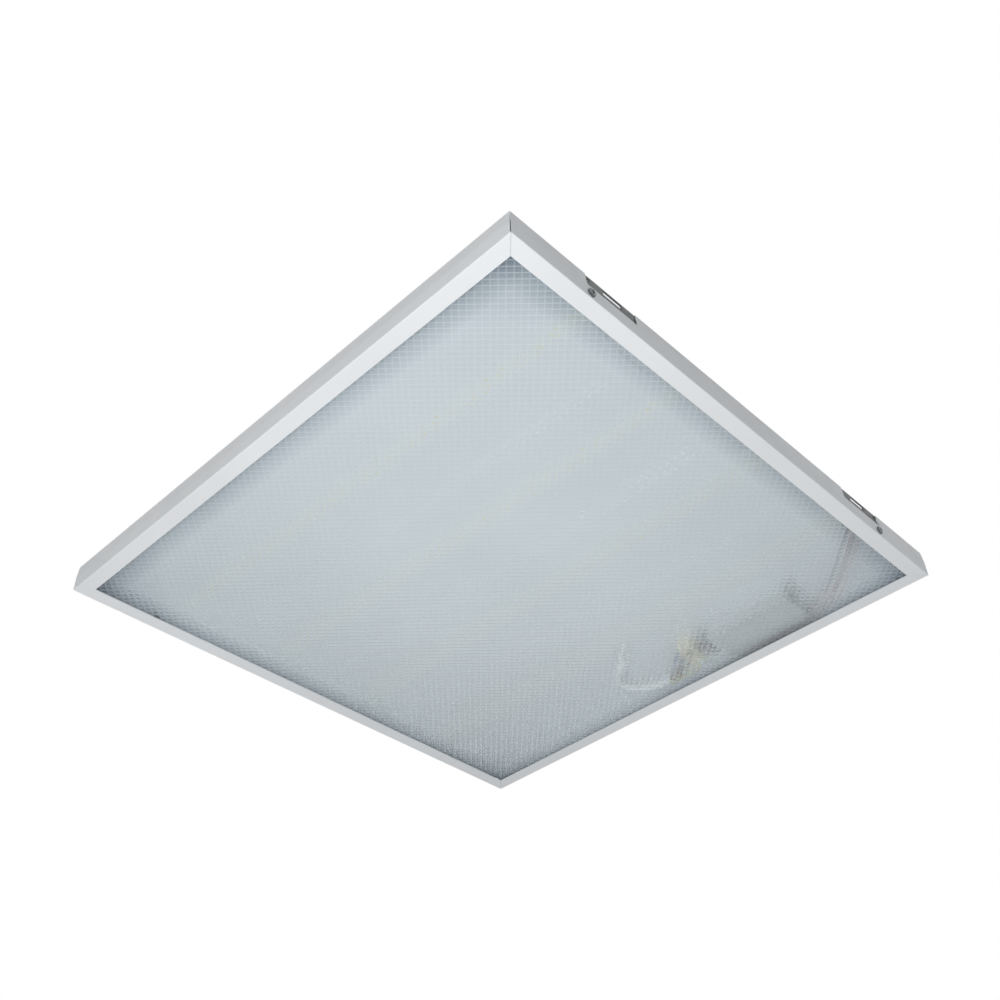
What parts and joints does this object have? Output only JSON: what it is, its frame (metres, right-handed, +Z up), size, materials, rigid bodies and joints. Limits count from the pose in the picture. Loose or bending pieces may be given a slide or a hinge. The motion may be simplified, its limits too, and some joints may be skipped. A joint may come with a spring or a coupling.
{
  "type": "recessed troffer light",
  "caption": "Lay-in square ceiling light: mitred steel frame, back tray, prismatic diffuser over light boards, internal driver and wiring, swing-up hanger straps.",
  "frame": {"origin": "middle of the visible lower face, as installed in a ceiling", "axes": "+Z up into the ceiling, -Y the front side with notches, +X to the right"},
  "size_m": [0.595, 0.599, 0.028],
  "materials": {
    "white_frame": "white powder coat on steel sheet, fine texture, soft satin",
    "galvanised": "dull galvanised steel strip",
    "bright_screw": "bright zinc plated steel",
    "prismatic_sheet": "clear moulded acrylic sheet with small pyramid prisms",
    "white_tray": "white powder coat on thin steel sheet",
    "white_board": "white solder mask over an aluminium circuit board",
    "led_chip": "yellow phosphor in a white chip package",
    "white_nylon": "white moulded nylon",
    "white_lead": "white wire insulation",
    "driver_plastic": "white moulded plastic case, fine spark texture",
    "circuit_board": "green solder mask on fibreglass",
    "coil_tape": "yellow winding tape",
    "capacitor_sleeve": "black shrink sleeve over aluminium cans",
    "cream_block": "cream moulded nylon",
    "brass_insert": "plain turned brass",
    "gland_nylon": "grey-white moulded nylon",
    "tinned_copper": "tin plated copper",
    "white_sheath": "white flexible sheath",
    "green_yellow_core": "green and yellow striped insulation",
    "brown_core": "brown insulation",
    "blue_core": "blue insulation",
    "red_lead": "red insulation",
    "black_lead": "black insulation"
  },
  "bodies": {
    "housing": {"frame_rail_front": "white_frame", "frame_rail_right": "white_frame", "frame_rail_back": "white_frame", "frame_rail_left": "white_frame", "corner_angle_front_left": "galvanised", "corner_angle_front_right": "galvanised", "corner_angle_back_right": "galvanised", "corner_angle_back_left": "galvanised", "strap_screws": "bright_screw", "strap_nuts": "bright_screw", "diffuser": "prismatic_sheet", "back_tray": "white_tray", "led_board_1": "white_board", "led_board_2": "white_board", "led_board_3": "white_board", "led_board_4": "white_board", "led_row_1": "led_chip", "led_row_2": "led_chip", "led_row_3": "led_chip", "led_row_4": "led_chip", "board_rivets": "white_nylon", "board_connectors": "white_nylon", "jumper_leads": "white_lead", "driver_case": "driver_plastic", "driver_lid": "driver_plastic", "driver_circuit": "circuit_board", "driver_coil": "coil_tape", "driver_capacitors": "capacitor_sleeve", "driver_screws": "bright_screw", "terminal_block": "cream_block", "terminal_inserts": "brass_insert", "terminal_screws": "bright_screw", "block_screw": "bright_screw", "cable_gland": "gland_nylon", "earth_stud": "bright_screw", "earth_ring": "tinned_copper", "earth_nut": "bright_screw", "mains_cable": "white_sheath", "earth_core": "green_yellow_core", "line_core": "brown_core", "neutral_core": "blue_core", "driver_line_lead": "brown_core", "driver_neutral_lead": "blue_core", "positive_lead": "red_lead", "negative_lead": "black_lead"},
    "strap_front_left": {"hanger_strap_front_left": "galvanised"},
    "strap_front_right": {"hanger_strap_front_right": "galvanised"},
    "strap_back_right": {"hanger_strap_back_right": "galvanised"},
    "strap_back_left": {"hanger_strap_back_left": "galvanised"}
  },
  "joints": [
    {"name": "front_left_swing", "type": "hinge", "parent": "housing", "child": "strap_front_left", "pos_m": [-0.208, -0.2949, 0.0065], "axis": [0, -1, 0], "range_deg": [0, 90]},
    {"name": "front_right_swing", "type": "hinge", "parent": "housing", "child": "strap_front_right", "pos_m": [0.208, -0.2949, 0.0065], "axis": [0, 1, 0], "range_deg": [0, 90]},
    {"name": "back_right_swing", "type": "hinge", "parent": "housing", "child": "strap_back_right", "pos_m": [0.208, 0.2949, 0.0065], "axis": [0, 1, 0], "range_deg": [0, 90]},
    {"name": "back_left_swing", "type": "hinge", "parent": "housing", "child": "strap_back_left", "pos_m": [-0.208, 0.2949, 0.0065], "axis": [0, -1, 0], "range_deg": [0, 90]}
  ]
}
